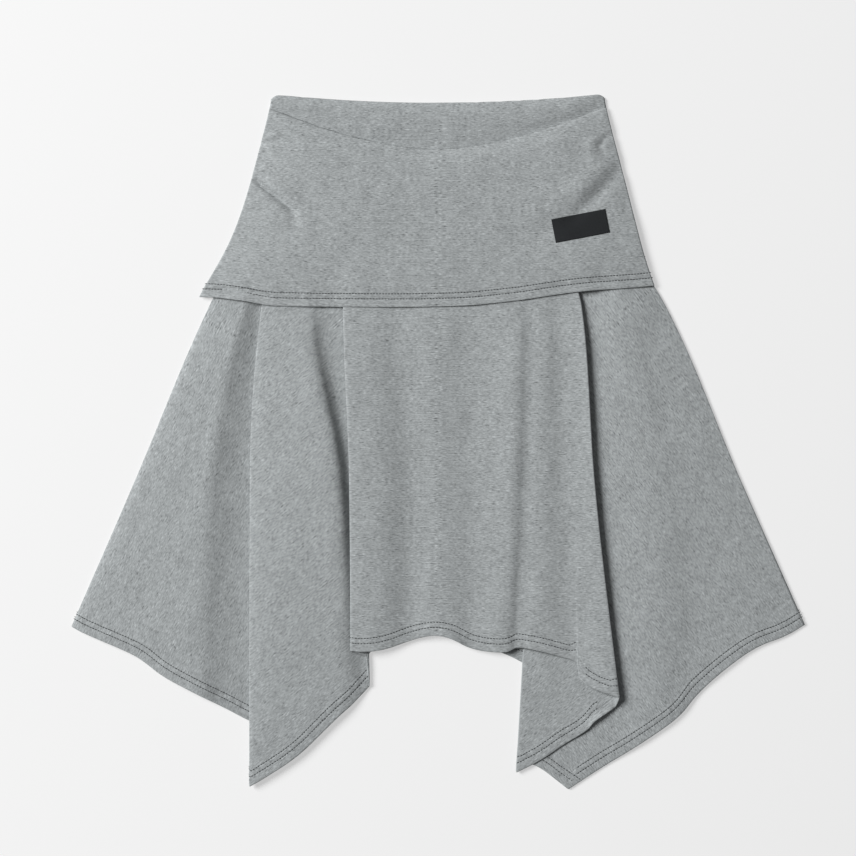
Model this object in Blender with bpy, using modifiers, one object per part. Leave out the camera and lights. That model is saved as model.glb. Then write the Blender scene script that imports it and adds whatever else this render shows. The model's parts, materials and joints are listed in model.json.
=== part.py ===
"""An asymmetric jersey skirt laid flat, front up: folded-over waist, pleated skirt, pointed hem.

Lengths in the tables are millimetres. Across is +X, toward the waist is -y in the tables
(turned to +Y at the end), up from the floor is +Z.
"""

import math

import bpy
import numpy as np
from mathutils import Vector
from mathutils.bvhtree import BVHTree

# Sizes
WALL = 1.5                # thickness of the jersey
SEAM_GAP = 0.3            # left between two pieces at a seam
WAIST_GAP = 0.9           # the same at the waist seam, whose edges tilt
LAYER = 2.3               # from the middle of one lying layer to the middle of the next
CENTRE = (438.25, 441.86)  # table position of the origin
SEAM_Y = 245.0            # waist seam, under the flap
SEAM_ENDS = (241.0, 628.0)
HIDDEN_Y = 272.0          # one row of the skirt between the seam and the flap's hem
FLAP_Y = 305.0            # just below the flap's hem
KNEE_Y = 480.0            # half way down the skirt
LIFT_FROM, LIFT_TO = 299.0, 313.0  # where the skirt climbs over the back flap's hem
LABEL = (55.0, 24.0, 0.7)          # woven patch: width, height, thickness
LABEL_AT = (580.4, 226.0)
LABEL_TURN = 11.0                  # degrees
STEP = 26.0               # widest cell across the cloth
ROWS = 9                  # rows from the flap down to the hem
TURN_CELLS = 2            # cells in each rounded corner
BEND = {"fold": 3.0, "corner": 1.5}  # how far a firm bend's rounding reaches
NEAR = 0.28               # and at most this share of the way to the next line

# Folds of the front skirt, left to right. Each row is one line that runs down the cloth:
# kind, x at the flap, x half way down, hem x, hem y, then the height of the cloth's middle
# at the waist seam, at the flap, half way down and at the hem.
# "low" and "high" are the two sides of one fold's round turn.
FRONT = [
    ("end", 209.5, 135, 71, 627, 2.55, 2.55, 2.55, 2.55),
    ("soft", 216, 148, 92, 638, 3.05, 3.6, 4.0, 3.8),
    ("soft", 226, 173, 131, 653.5, 3.05, 4.2, 5.0, 4.6),
    ("soft", 230, 181, 144.5, 662.5, 3.05, 4.4, 5.4, 4.6),
    ("soft", 233.5, 189, 158, 675, 3.05, 4.5, 5.8, 5.0),
    ("soft", 243, 210, 196, 694, 3.05, 4.4, 6.6, 6.6),
    ("soft", 251, 229, 222, 706, 3.05, 3.5, 4.4, 4.6),
    ("soft", 256, 240, 242, 718, 3.05, 3.05, 3.05, 3.05),
    ("low", 272, 279, 297, 742, 3.05, 3.05, 3.05, 3.05),
    ("high", 272, 279, 297, 742, 5.35, 5.35, 5.35, 5.35),
    ("low", 262, 250, 248.5, 785, 5.35, 5.4, 6.0, 5.8),
    ("high", 262, 250, 248.5, 787, 7.65, 8.2, 10.6, 9.4),
    ("soft", 272, 263, 265, 779, 7.0, 8.0, 10.8, 9.3),
    ("soft", 286, 290, 299, 756, 5.0, 7.8, 10.6, 8.6),
    ("soft", 300, 314, 330, 725, 4.0, 6.4, 10.2, 7.4),
    ("soft", 312, 333, 352, 705, 3.3, 4.8, 9.6, 4.3),
    ("low", 318, 340, 369, 687, 3.05, 3.3, 3.2, 3.1),
    ("high", 325, 344, 369, 687, 3.05, 3.3, 3.6, 5.5),
    ("soft", 333, 347, 364, 657, 3.8, 5.0, 6.0, 6.4),
    ("low", 342, 350, 351.5, 651, 4.5, 6.8, 8.2, 7.0),
    ("high", 345, 350, 350.5, 651, 6.8, 9.2, 11.6, 9.5),
    ("soft", 356, 361, 364, 653, 7.3, 9.8, 12.0, 9.4),
    ("soft", 372, 380, 384, 650.5, 7.9, 8.2, 9.0, 7.0),
    ("soft", 388, 400, 404, 643, 7.9, 6.6, 5.4, 3.9),
    ("soft", 410, 418, 421, 637.5, 7.9, 7.4, 7.9, 8.1),
    ("soft", 430, 438, 436, 635, 7.9, 8.9, 9.4, 9.2),
    ("soft", 450, 456, 452, 638.5, 7.9, 7.8, 7.7, 7.9),
    ("soft", 470, 472, 468, 648, 7.9, 6.4, 4.9, 4.3),
    ("soft", 492, 489, 484, 651.5, 7.9, 7.4, 6.6, 6.0),
    ("soft", 508, 502, 498, 652.5, 7.9, 8.6, 8.6, 8.0),
    ("fold", 520.5, 515.5, 510.5, 652, 7.9, 9.0, 10.6, 10.6),
    ("fold", 524.5, 519.5, 514.5, 645.5, 7.9, 7.5, 6.6, 7.6),
    ("soft", 538, 537, 536, 650, 7.9, 7.9, 8.4, 9.2),
    ("soft", 556, 556, 560, 657, 7.9, 7.5, 7.4, 7.7),
    ("fold", 566, 571, 576, 662, 7.9, 8.2, 8.8, 8.0),
    ("fold", 571, 577, 579.5, 681, 7.9, 8.8, 10.8, 11.6),
    ("soft", 578, 589, 597, 692, 7.9, 9.6, 13.2, 14.0),
    ("high", 587, 601.5, 619.5, 699, 7.65, 9.6, 12.8, 13.4),
    ("low", 587, 601.5, 617, 708, 5.35, 5.6, 6.8, 6.8),
    ("soft", 581, 592, 603, 716, 5.35, 5.5, 6.4, 6.4),
    ("soft", 575, 581, 588, 729, 5.35, 5.4, 5.8, 5.8),
    ("soft", 567, 562, 566, 743.5, 5.35, 5.35, 5.35, 5.4),
    ("soft", 561, 547, 541, 761, 5.35, 5.35, 5.35, 5.35),
    ("high", 555, 535, 516.5, 773, 5.35, 5.35, 5.35, 5.35),
    ("low", 555, 535, 516.5, 771, 3.05, 3.05, 3.05, 3.05),
    ("soft", 562, 546, 531, 760.5, 3.05, 3.05, 3.05, 3.05),
    ("corner", 576, 572, 568.5, 790, 3.05, 3.05, 3.05, 3.05),
    ("soft", 592, 599, 605, 766, 3.05, 3.05, 3.05, 3.05),
    ("soft", 602, 618, 629, 752, 3.05, 3.3, 3.4, 3.3),
    ("soft", 614, 643, 661, 731, 3.05, 4.0, 4.8, 4.6),
    ("soft", 624, 664, 685, 713, 3.05, 3.8, 4.0, 3.8),
    ("soft", 630, 677, 696, 696, 3.05, 3.9, 3.8, 3.8),
    ("soft", 640, 697, 722, 672, 3.05, 4.4, 5.6, 5.4),
    ("soft", 651, 720, 756, 647, 3.05, 3.8, 5.2, 5.0),
    ("soft", 659, 732, 786, 637, 3.05, 3.2, 3.8, 3.8),
    ("end", 665.5, 741, 805.5, 625, 2.55, 2.55, 2.55, 2.55),
]

# The back skirt, under the front: flat on the floor, with one pleat at its middle.
BACK = [
    ("end", 209.5, 135, 71.5, 625, 0.75, 0.75, 0.75, 0.75),
    ("soft", 226, 173, 134, 648, 0.75, 0.75, 0.75, 0.75),
    ("soft", 235, 191, 162, 669, 0.75, 0.75, 0.75, 0.75),
    ("soft", 256, 240, 242, 712, 0.75, 0.75, 0.75, 0.75),
    ("corner", 264, 255, 259, 771, 0.75, 0.75, 0.75, 0.75),
    ("soft", 290, 290, 302, 742, 0.75, 0.75, 0.75, 0.75),
    ("soft", 320, 335, 352, 694, 0.75, 0.75, 0.75, 0.75),
    ("soft", 345, 360, 370, 646, 0.75, 0.75, 0.75, 0.75),
    ("soft", 385, 396, 402, 637, 0.75, 0.75, 0.75, 0.75),
    ("low", 436, 444, 447, 631, 0.75, 0.75, 0.75, 0.75),
    ("high", 436, 444, 447, 631, 3.05, 3.05, 3.05, 3.05),
    ("low", 425, 426, 425, 632, 3.05, 3.05, 3.05, 3.05),
    ("high", 425, 426, 425, 632, 5.35, 5.35, 5.35, 5.35),
    ("fold", 441, 449, 452, 632, 5.35, 5.35, 5.35, 5.35),
    ("fold", 454, 463, 466, 640, 0.75, 0.75, 0.75, 0.75),
    ("soft", 485, 490, 492, 647, 0.75, 0.75, 0.75, 0.75),
    ("soft", 520, 517, 514, 656, 0.75, 0.75, 0.75, 0.75),
    ("soft", 530, 528, 532, 668, 0.75, 0.75, 0.75, 0.75),
    ("corner", 570, 572, 566.5, 779, 0.75, 0.75, 0.75, 0.75),
    ("soft", 614, 643, 660, 724, 0.75, 0.75, 0.75, 0.75),
    ("soft", 630, 677, 693, 691, 0.75, 0.75, 0.75, 0.75),
    ("soft", 640, 697, 720, 667, 0.75, 0.75, 0.75, 0.75),
    ("soft", 651, 720, 756, 642, 0.75, 0.75, 0.75, 0.75),
    ("end", 665.5, 741, 804.5, 623, 0.75, 0.75, 0.75, 0.75),
]

# Sides of the folded waist: y, left x, right x.
WAIST_SIDES = [
    (96, 271.5, 604.5),
    (110, 269, 607),
    (144, 261, 615),
    (168, 254, 622),
    (192, 248, 628),
    (216, 240, 634),
    (240, 231, 640),
    (264, 218, 647),
    (288, 203.5, 655.5),
    (298, 198.5, 659.5),
]

# The flap's hem on the front: x, y.
FLAP_HEM = [
    (198, 297), (213, 297.5), (240, 300.5), (276, 306), (344, 307), (400, 307.3),
    (460, 306), (506, 302), (583, 291.5), (647, 286.5), (659, 285),
]

# Lines that run across the waist pieces, from the flap's hem over the top fold and down inside
# to the waist seam: kind, where the line lies, its y, drop or share of the way, how far its
# ends stay inside the side seams, height at the left seam, in the middle and at the right
# seam, and how wide the slopes at the sides are.
YOKE_FRONT = [
    ("end", "hem", 0, 0, 2.55, 14.6, 6.9, 62),
    ("soft", "hem", -20, 0, 2.55, 14.2, 6.2, 56),
    ("soft", "y", 245, 0, 2.55, 12.9, 4.6, 40),
    ("soft", "y", 215, 0, 2.55, 10.0, 2.55, 26),
    ("soft", "y", 185, 0, 2.55, 8.6, 2.55, 24),
    ("soft", "rim", 22, 0, 4.4, 9.0, 4.4, 20),
    ("high", "rim", 0, 0, 7.6, 9.7, 7.6, 16),
    ("low", "rim", 0, 0.5, 5.0, 5.4, 5.0, 16),
    ("soft", "rim", 20, 9, 4.85, 5.35, 4.85, 16),
    ("soft", "y", 200, 12, 4.85, 5.7, 4.85, 40),
    ("end", "seam", 0, 0, 4.85, 10.2, 4.85, 120),
]
YOKE_BACK = [
    ("end", "hem", -11, 2, 0.75, 0.75, 0.75, 20),
    ("soft", "y", 262, 0, 0.75, 0.75, 0.75, 20),
    ("soft", "y", 238, 0, 0.75, 0.75, 0.75, 20),
    ("soft", "y", 190, 0, 0.75, 0.75, 0.75, 20),
    ("soft", "y", 140, 0, 0.75, 0.75, 0.75, 20),
    ("low", "top", 0, 0, 0.75, 0.75, 0.75, 20),
    ("high", "top", 0, 0, 3.2, 5.0, 3.2, 20),
    ("soft", "between", 0.35, 1, 3.05, 4.3, 3.05, 50),
    ("soft", "between", 0.9, 4, 3.05, 3.05, 3.05, 20),
    ("soft", "rim", 25, 10, 3.05, 3.05, 3.05, 20),
    ("soft", "y", 200, 12, 3.05, 3.05, 3.05, 20),
    ("end", "seam", 0, 0, 3.05, 3.05, 3.05, 20),
]
YOKE_CELLS = 18          # cells across the waist pieces
CROWDING = 0.35          # how much nearer they stand at the sides: 0 is even
SETTLE = 30              # rounds that bring a waist line's ends onto the side seams
RIM = (436.0, 165.0, 149.0, 41.0, 1.7)   # front rim: middle x, half width, lowest y, rise, bend
TOP = (436.0, 165.0, 102.5, 8.5, 2.0)    # back's top fold, the same
CORNER, CORNER_DROP = 8.0, 4.5           # rounding of the waist's top corners


def through(knots, values, at):
    """A smooth curve through the values that never swings past them."""
    knots = np.asarray(knots, float)
    values = np.asarray(values, float)
    width = np.diff(knots)
    rise = np.diff(values) / width
    slope = np.zeros(len(values))
    for i in range(1, len(values) - 1):
        if rise[i - 1] * rise[i] > 0:
            before = 2 * width[i] + width[i - 1]
            after = width[i] + 2 * width[i - 1]
            slope[i] = (before + after) / (before / rise[i - 1] + after / rise[i])
    slope[0] = rise[0]
    slope[-1] = rise[-1]
    i = np.clip(np.searchsorted(knots, at, side="right") - 1, 0, len(width) - 1)
    s = (at - knots[i]) / width[i]
    start = (1 + 2 * s) * (1 - s) ** 2 * values[i] + s * (1 - s) ** 2 * width[i] * slope[i]
    finish = s * s * (3 - 2 * s) * values[i + 1] - s * s * (1 - s) * width[i] * slope[i + 1]
    return start + finish


def seam_x(x_at_flap):
    """Where a fold line starts at the waist seam, from where it leaves the flap."""
    left, right = FRONT[0][1], FRONT[-1][1]
    share = (x_at_flap - left) / (right - left)
    return SEAM_ENDS[0] + (SEAM_ENDS[1] - SEAM_ENDS[0]) * share


def skirt_lines(table):
    """The fold lines as points: one array (row, line, xyz) and the kinds."""
    kinds = [row[0] for row in table]
    lines = []
    for _, x_flap, x_knee, x_hem, y_hem, z_seam, z_flap, z_knee, z_hem in table:
        upper = [SEAM_Y, HIDDEN_Y, LIFT_FROM, LIFT_TO]
        lower = LIFT_TO + (y_hem - LIFT_TO) * np.arange(1, ROWS + 1) / ROWS
        y = np.concatenate([upper, lower])
        knots = [SEAM_Y, FLAP_Y, KNEE_Y, y_hem]
        x = through(knots, [seam_x(x_flap), x_flap, x_knee, x_hem], y)
        z = through(knots, [z_seam, z_flap, z_knee, z_hem], y)
        lift = np.clip((LIFT_TO - y) / (LIFT_TO - LIFT_FROM), 0, 1) * LAYER
        lines.append(np.stack([x, y, z + lift], axis=1))
    return kinds, np.stack(lines, axis=1)


def loft_points(kinds, points, turns=TURN_CELLS, step=STEP):
    """A grid (row, column, xyz) across the lines, its bends rounded."""
    pairs = fold_pairs(kinds)
    count = points.shape[1]
    length = np.linalg.norm(np.diff(points, axis=1), axis=2)
    before, after = roundings(kinds, pairs, length)
    columns = [points[:, 0]]
    for i in range(1, count):
        start = points[:, i - 1]
        finish = points[:, i]
        reach = length[:, i - 1]
        free = reach - after[:, i - 1] - before[:, i]
        way = (finish - start) / reach[:, None]
        if i == count - 1 or free.max() > 1e-6:
            cells = max(1, math.ceil(free.max() / step))
            for k in range(1, cells + 1):
                along = after[:, i - 1] + free * k / cells
                columns.append(start + way * along[:, None])
        if i == count - 1:
            break
        nearer = finish - way * before[:, i][:, None]
        onward = (points[:, i + 1] - finish) / length[:, i][:, None]
        farther = finish + onward * after[:, i][:, None]
        for k in range(1, turns + 1):
            s = k / turns
            bend = (1 - s) ** 2 * nearer + 2 * s * (1 - s) * finish + s * s * farther
            columns.append(bend)
    return np.stack(columns, axis=1)


def fold_pairs(kinds):
    """The first line of each round turn: a low and a high line side by side."""
    pairs = set()
    i = 0
    while i < len(kinds) - 1:
        if {kinds[i], kinds[i + 1]} == {"low", "high"}:
            pairs.add(i)
            i += 2
        else:
            i += 1
    return pairs


def roundings(kinds, pairs, length):
    """How far each bend's rounding reaches along the cloth, before and after its line."""
    rows, spans = length.shape
    before = np.zeros((rows, spans + 1))
    after = np.zeros((rows, spans + 1))
    for i in range(1, spans):
        left, right = length[:, i - 1], length[:, i]
        if kinds[i] == "soft":
            before[:, i], after[:, i] = left / 2, right / 2
        elif i in pairs:
            before[:, i] = np.minimum(right / 2, left * NEAR)
            after[:, i] = right / 2
        elif i - 1 in pairs:
            before[:, i] = left / 2
            after[:, i] = np.minimum(left / 2, right * NEAR)
        else:
            before[:, i] = np.minimum(BEND[kinds[i]], left * NEAR)
            after[:, i] = np.minimum(BEND[kinds[i]], right * NEAR)
    return before, after


def waist_side(y, column):
    """The side seam's x at a height of the waist: column 1 is left, 2 is right."""
    table = np.array(WAIST_SIDES)
    return np.interp(y, table[:, 0], table[:, column])


def arch(shape, x):
    """The y of a dipping fold at x."""
    middle, half, low, rise, bend = shape
    return low - rise * np.minimum(np.abs(x - middle) / half, 1.02) ** bend


def top_fold(x):
    """The y of the back's top fold at x, its ends rounded."""
    edge = np.clip(1 - np.minimum(x - x[0], x[-1] - x) / CORNER, 0, 1)
    return arch(TOP, x) + CORNER_DROP * edge ** 2


def yoke_lines(table):
    """The waist piece's lines as points (row across, line, xyz)."""
    kinds = [row[0] for row in table]
    even = np.linspace(0, 1, YOKE_CELLS + 1)
    share = CROWDING * (0.5 - 0.5 * np.cos(np.pi * even)) + (1 - CROWDING) * even
    hem = np.array(FLAP_HEM, float)
    hem_left, hem_right = hem[0, 0], hem[-1, 0]
    lines = []
    for _, place, drop, inset, z_left, z_mid, z_right, slope in table:
        x = hem_left + (hem_right - hem_left) * share
        y = np.zeros(len(x))
        for _ in range(SETTLE):
            if place == "hem":
                y = np.interp(x, hem[:, 0], hem[:, 1]) + drop
            elif place == "y":
                y = np.full(len(x), float(drop))
            elif place == "rim":
                y = arch(RIM, x) + drop
            elif place == "top":
                y = top_fold(x)
            elif place == "between":
                y = top_fold(x) * (1 - drop) + arch(RIM, x) * drop
            else:
                y = np.full(len(x), SEAM_Y - WAIST_GAP)
            left = waist_side(y[0], 1) + inset
            right = waist_side(y[-1], 2) - inset
            if place == "seam":
                left, right = SEAM_ENDS
            x = left + (right - left) * share
        edge = np.minimum(x - x[0], x[-1] - x)
        side = np.where(x - x[0] < x[-1] - x, z_left, z_right)
        z = z_mid + (side - z_mid) * np.clip(1 - edge / slope, 0, 1) ** 2
        lines.append(np.stack([x, y, z], axis=1))
    return kinds, np.stack(lines, axis=1)


def to_metres(points):
    """Table positions to the object's own, in metres."""
    out = np.empty_like(points)
    out[..., 0] = (points[..., 0] - CENTRE[0]) / 1000
    out[..., 1] = (CENTRE[1] - points[..., 1]) / 1000
    out[..., 2] = points[..., 2] / 1000
    return out


def surface(grid):
    """The points of a grid and its four-sided faces, which look up."""
    rows, columns = grid.shape[:2]
    points = [tuple(point) for point in grid.reshape(-1, 3)]
    faces = []
    for r in range(rows - 1):
        for c in range(columns - 1):
            a = r * columns + c
            faces.append((a, a + columns, a + columns + 1, a + 1))
    return points, faces


def sheet(name, grid, wall, material, collection):
    """A cloth piece: the grid's surface, given its wall on both sides."""
    points, faces = surface(to_metres(grid))
    mesh = bpy.data.meshes.new(name)
    mesh.from_pydata(points, [], faces)
    mesh.update()
    piece = bpy.data.objects.new(name, mesh)
    mesh.materials.append(material)
    collection.objects.link(piece)
    walls = piece.modifiers.new("wall", "SOLIDIFY")
    walls.thickness = wall / 1000
    walls.offset = 0.0
    walls.use_even_offset = False
    walls.use_rim = True
    return piece


def label_grid(flap):
    """The patch's middle: points on the flap's face, moved out by half its thickness."""
    tree = BVHTree.FromPolygons(*surface(flap))
    turn = math.radians(LABEL_TURN)
    width, height, thick = LABEL
    grid = np.zeros((4, 7, 3))
    for r in range(4):
        for c in range(7):
            across = (c / 6 - 0.5) * width
            down = (r / 3 - 0.5) * height
            x = LABEL_AT[0] + across * math.cos(turn) + down * math.sin(turn)
            y = LABEL_AT[1] - across * math.sin(turn) + down * math.cos(turn)
            hit = tree.ray_cast(Vector((x, y, 60.0)), Vector((0, 0, -1)))[0]
            grid[r, c] = (x, y, hit.z + WALL / 2 + 2 * SEAM_GAP + thick / 2)
    return grid


def material(name, colour, roughness):
    made = bpy.data.materials.new(name)
    made.use_nodes = True
    shader = made.node_tree.nodes["Principled BSDF"]
    shader.inputs["Base Color"].default_value = (*colour, 1.0)
    shader.inputs["Roughness"].default_value = roughness
    return made


def main():
    for obj in list(bpy.data.objects):
        bpy.data.objects.remove(obj)
    collection = bpy.data.collections.new("asymmetric_skirt")
    bpy.context.scene.collection.children.link(collection)
    jersey = material("heather_jersey", (0.345, 0.365, 0.370), 0.9)
    woven = material("black_woven", (0.012, 0.013, 0.014), 0.75)

    front = loft_points(*skirt_lines(FRONT))
    back = loft_points(*skirt_lines(BACK))
    flap = loft_points(*yoke_lines(YOKE_FRONT))
    under = loft_points(*yoke_lines(YOKE_BACK))
    sheet("skirt_back", back, WALL, jersey, collection)
    sheet("skirt_front", front, WALL, jersey, collection)
    sheet("yoke_back", under, WALL, jersey, collection)
    sheet("yoke_front", flap, WALL, jersey, collection)
    sheet("label", label_grid(flap), LABEL[2], woven, collection)


main()
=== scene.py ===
import functools
import json
import math

import bpy
import numpy as np
from bpy.props import FloatProperty, FloatVectorProperty, PointerProperty
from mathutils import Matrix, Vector
from mathutils.bvhtree import BVHTree
from numpy.linalg import norm

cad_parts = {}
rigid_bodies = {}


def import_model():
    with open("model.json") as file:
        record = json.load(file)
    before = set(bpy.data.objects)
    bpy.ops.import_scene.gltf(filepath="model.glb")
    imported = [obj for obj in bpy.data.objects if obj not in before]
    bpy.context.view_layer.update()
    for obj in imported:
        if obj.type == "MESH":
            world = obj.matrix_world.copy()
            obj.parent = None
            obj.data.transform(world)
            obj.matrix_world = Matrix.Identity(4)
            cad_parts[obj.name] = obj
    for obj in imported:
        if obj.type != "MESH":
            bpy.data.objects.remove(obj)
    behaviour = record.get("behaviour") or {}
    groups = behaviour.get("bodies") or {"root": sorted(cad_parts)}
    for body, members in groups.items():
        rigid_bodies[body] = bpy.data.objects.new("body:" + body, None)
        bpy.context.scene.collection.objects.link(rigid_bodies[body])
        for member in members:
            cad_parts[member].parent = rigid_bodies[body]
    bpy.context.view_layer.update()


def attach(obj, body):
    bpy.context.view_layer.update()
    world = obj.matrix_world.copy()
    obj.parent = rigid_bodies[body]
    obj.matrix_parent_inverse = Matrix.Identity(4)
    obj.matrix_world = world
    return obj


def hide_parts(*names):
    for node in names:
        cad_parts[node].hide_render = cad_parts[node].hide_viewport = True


bl_info = {
    "name": "Asymmetric Jersey Skirt",
    "version": (1, 0, 0),
    "blender": (4, 5, 0),
    "location": "View3D > Sidebar > Skirt",
    "description": "Dresses a flat-laid jersey skirt: cloth panels, folded waist, stitching and patch",
    "category": "Object",
}

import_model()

# Places in the tables are millimetres, x to the right and y down towards the hem.
CENTRE = (438.25, 441.86)  # table position of the origin
LAYER = 1.45               # from the middle of one lying layer to the middle of the next
SEAM_Y = 245.0             # waist seam, under the flap
SEAM_ENDS = (241.0, 628.0)
FLAP_Y = 305.0             # just below the flap's hem
KNEE_Y = 480.0             # half way down the skirt
FREE_Y, FREED = 338.0, 0.6  # clear of the flap, a fold has risen this share of its way to KNEE_Y
CLIMB = 12.0               # how far before the flap's hem the skirt climbs over the back flap's hem
WAIST_GAP = 0.9            # left between the waist and the skirt at their seam
ROWS = 60                  # rows worked out from the flap to the hem, before they are laid again
BEND = {"fold": 3.0, "corner": 1.5}  # how far a firm bend's rounding reaches
NEAR = 0.28                # and at most this share of the way to the next line
TURN = 0.9                 # how far a round turn's rounding reaches past its two lines
STITCH_ROWS = (8.3, 13.5)  # the two rows of hem stitching, from the edge
HEM_TURN = 14.6            # the turned-up hem's raw edge, from the fold
SINGLE = 0.72              # a single layer's share of the turned-up hem's thickness
EDGE_ROUND = 1.3           # how far in from the hem's edge its rounding reaches
SUNK, SUNK_WIDE = 0.38, 0.55  # how deep the stitching sinks in, as a share, and how wide
PUCKER, PUCKER_AT, PUCKER_WIDE = 0.13, 10.5, 4.0  # unevenness of a hem: height, place and width
# Rows near a hem, from its edge: they stand close where it rounds, and along the stitching.
NEAR_ROWS = (0, 0.5, 1.3, 2.6, 4.4, 6.0, 7.2, 7.8, 8.3, 8.8, 9.4, 10.6, 12.0, 13.0, 13.5, 14.0, 14.6,
             15.4, 17)

# Folds of the front skirt, left to right. Each row is one line that runs down the cloth:
# kind, x at the flap, x half way down, hem x, hem y, then the height of the cloth's middle
# at the waist seam, at the flap, half way down and at the hem, or one height for all four.
# "low" and "high" are the two sides of one fold's round turn.
FRONT = [
    ("end", 209.5, 135, 71, 627, 2.1),
    ("soft", 214, 143, 84, 634, 2.1, 3.8, 5.2, 4.6),
    ("soft", 226, 173, 131, 653.5, 2.1, 4.8, 7.0, 6.0),
    ("soft", 231, 183, 145, 662.5, 2.1, 5.0, 7.4, 6.5),
    ("soft", 236, 195, 162, 676.5, 2.1, 5.2, 7.9, 7.1),
    ("soft", 245, 210, 200, 696, 2.1, 5.8, 9.2, 8.9),
    ("soft", 252, 224, 214, 703, 2.1, 4.2, 5.8, 5.7),
    ("soft", 257, 237, 228, 710, 2.1, 2.8, 3.4, 3.5),
    ("soft", 261, 250, 248, 721, 2.1),
    ("low", 273, 279, 297, 742, 2.1),
    ("high", 273, 279, 297, 742, 3.55),
    ("low", 262, 250.5, 249.5, 785, 3.55, 3.6, 4.2, 4.0),
    ("high", 262, 250, 249.5, 787, 4.8, 5.2, 6.2, 5.8),
    ("soft", 270, 261, 262, 780, 4.9, 6.0, 8.4, 7.0),
    ("soft", 284, 288, 298, 757, 4.2, 6.2, 10.2, 7.0),
    ("soft", 295, 310, 326, 729, 3.4, 5.6, 11.2, 6.6),
    ("soft", 303, 330, 342, 713.5, 2.8, 4.8, 12.8, 6.2),
    ("soft", 311, 340, 351, 706, 2.5, 4.2, 11.8, 5.2),
    ("soft", 318, 345.5, 358, 698.5, 2.2, 3.4, 5.0, 3.9),
    ("soft", 327, 350.5, 363, 693.5, 2.1, 3.0, 2.1, 2.9),
    ("low", 346, 366, 369, 687, 2.1, 3.0, 2.1, 2.3),
    ("high", 346, 366, 369, 687, 2.6, 3.9, 3.5, 3.6),
    ("fold", 345.5, 359, 366, 656.5, 3.0, 4.3, 4.2, 4.2),
    ("low", 346, 353, 352.5, 651, 3.7, 4.8, 6.6, 5.4),
    ("high", 343, 349, 350.5, 651, 4.4, 5.8, 10.4, 7.8),
    ("soft", 352, 359, 362, 652.5, 4.8, 6.1, 11.2, 8.4),
    ("soft", 374, 384, 385, 650, 5.0, 6.0, 10.8, 8.4),
    ("soft", 395, 407, 408, 641.5, 5.0, 5.0, 6.0, 4.2),
    ("soft", 414, 422, 422, 637.3, 5.0, 5.4, 6.6, 6.2),
    ("soft", 430, 438, 436, 635, 5.0, 6.0, 8.0, 8.0),
    ("soft", 450, 456, 452, 638.5, 5.0, 5.6, 7.0, 6.8),
    ("soft", 470, 472, 468, 648, 5.0, 5.0, 5.8, 4.6),
    ("soft", 492, 489, 484, 651.5, 5.0, 5.6, 7.0, 6.0),
    ("soft", 507, 503, 498, 652.5, 5.0, 6.0, 8.6, 8.0),
    ("soft", 519, 515, 509, 652.5, 5.0, 6.1, 10.2, 7.6),
    ("soft", 529, 525, 516, 647, 5.0, 4.9, 7.0, 4.9),
    ("soft", 543, 541, 538, 650.5, 5.0, 6.0, 9.2, 8.2),
    ("soft", 556, 562, 566, 658.3, 5.0, 5.4, 6.6, 5.4),
    ("fold", 564, 571, 577, 662, 5.0, 5.6, 7.2, 6.2),
    ("fold", 567, 577, 579.3, 679, 5.0, 5.8, 7.8, 6.6),
    ("soft", 572, 584, 589, 686.5, 5.0, 6.2, 8.7, 7.6),
    ("soft", 577, 589.5, 602, 692, 5.0, 6.8, 9.7, 9.6),
    ("high", 581.5, 594.5, 619.5, 697.5, 4.8, 7.4, 10.5, 10.6),
    ("low", 581.5, 593.5, 616, 707, 3.55, 4.4, 5.2, 4.8),
    ("soft", 577, 588, 606, 714, 3.55, 3.8, 4.8, 4.8),
    ("soft", 573, 581, 594, 721.5, 3.55, 3.6, 4.4, 5.4),
    ("soft", 570, 573, 588, 731, 3.55, 3.55, 3.8, 4.6),
    ("soft", 566, 562, 566, 743.5, 3.55),
    ("soft", 561, 547, 541, 761, 3.55),
    ("high", 555, 535, 516.5, 773, 3.55),
    ("low", 555, 535, 516.5, 771, 2.1),
    ("soft", 562, 546, 531, 760.5, 2.1),
    ("corner", 576, 572, 568.5, 790, 2.1),
    ("soft", 592, 599, 605, 766, 2.1, 2.2, 2.1, 2.1),
    ("soft", 602, 618, 629, 752, 2.1, 3.0, 3.6, 2.8),
    ("soft", 612, 643, 661, 731, 2.1, 4.8, 5.6, 5.2),
    ("soft", 624, 662, 682, 715, 2.1, 5.4, 5.4, 4.2),
    ("soft", 630, 677, 696, 696, 2.1, 5.2, 4.0, 3.0),
    ("soft", 640, 697, 722, 672, 2.1, 4.6, 3.5, 3.4),
    ("soft", 651, 720, 756, 647, 2.1, 3.7, 3.1, 3.2),
    ("soft", 659, 732, 786, 637, 2.1, 2.7, 2.5, 2.5),
    ("end", 665.5, 741, 805.5, 625, 2.1),
]

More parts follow.
